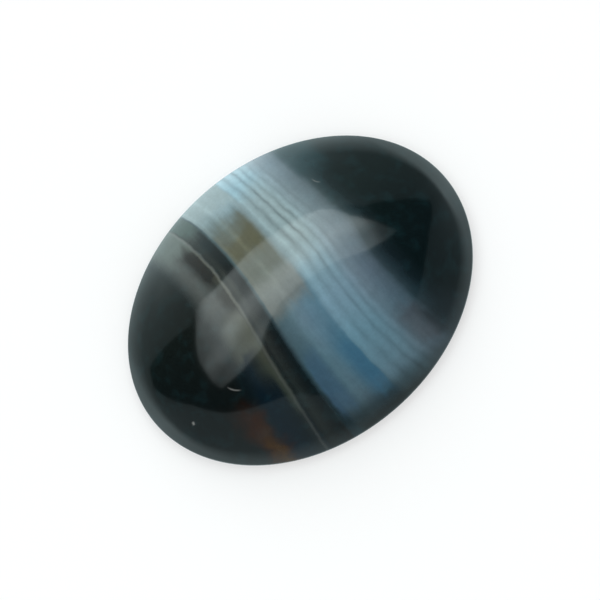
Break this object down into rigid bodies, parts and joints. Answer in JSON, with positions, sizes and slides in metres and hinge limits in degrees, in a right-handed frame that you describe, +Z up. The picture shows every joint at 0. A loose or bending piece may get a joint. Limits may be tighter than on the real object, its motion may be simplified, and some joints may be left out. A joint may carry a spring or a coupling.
{
  "type": "sulemani agate cabochon",
  "caption": "Polished oval cabochon of black and blue-grey banded agate with a domed face and a flat underside to rest on or set in a mount.",
  "frame": {"origin": "centre of the flat underside", "axes": "+X along the oval's long axis, across the stone's layers; +Y along its short axis; +Z up out of the domed face"},
  "size_m": [0.02, 0.0154, 0.0047],
  "materials": {
    "banded_agate": "polished"
  },
  "bodies": {
    "root": {"agate_cabochon": "banded_agate"}
  },
  "joints": []
}
